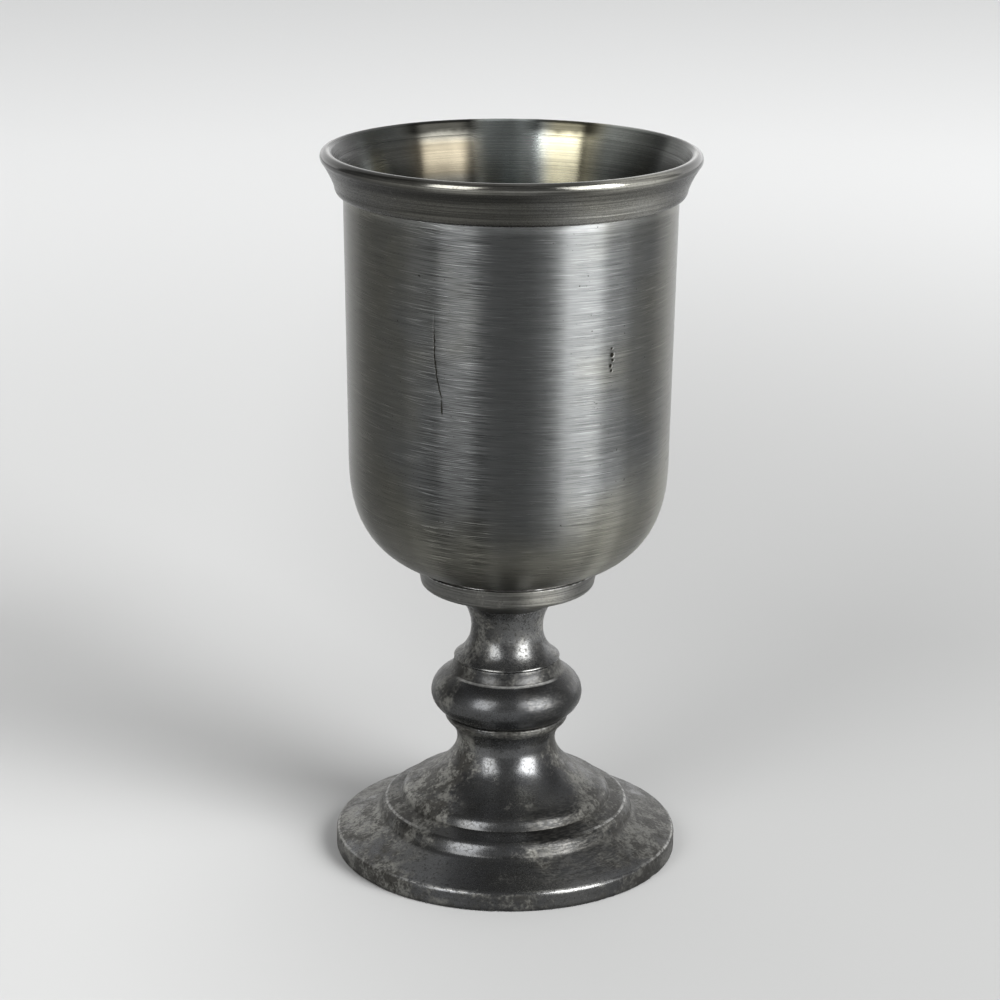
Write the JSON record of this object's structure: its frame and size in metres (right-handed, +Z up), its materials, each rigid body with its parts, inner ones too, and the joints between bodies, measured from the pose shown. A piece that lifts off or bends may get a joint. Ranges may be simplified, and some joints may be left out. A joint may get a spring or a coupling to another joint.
{
  "type": "goblet",
  "caption": "Footed metal drinking goblet with a deep straight-sided bowl, moulded lip, baluster stem with a knop, and a stepped round foot.",
  "frame": {"origin": "centre of the foot's base, on the table", "axes": "+Z up along the goblet's axis of turning; X and Y are alike"},
  "size_m": [0.0826, 0.0826, 0.1615],
  "materials": {
    "brushed_pewter": "grey pewter, brushed round the bowl, lightly scratched",
    "dark_pewter": "darkened pewter, smooth and semi-gloss, with mottled brown-grey oxidation and bright worn edges",
    "solder": "soft solder, satin"
  },
  "bodies": {
    "root": {"bowl": "brushed_pewter", "lip_band": "dark_pewter", "bowl_seat": "dark_pewter", "stem": "dark_pewter", "knop": "dark_pewter", "foot": "dark_pewter", "lip_solder": "solder", "bowl_solder": "solder", "seat_solder": "solder", "knop_solder": "solder", "foot_solder": "solder"}
  },
  "joints": []
}
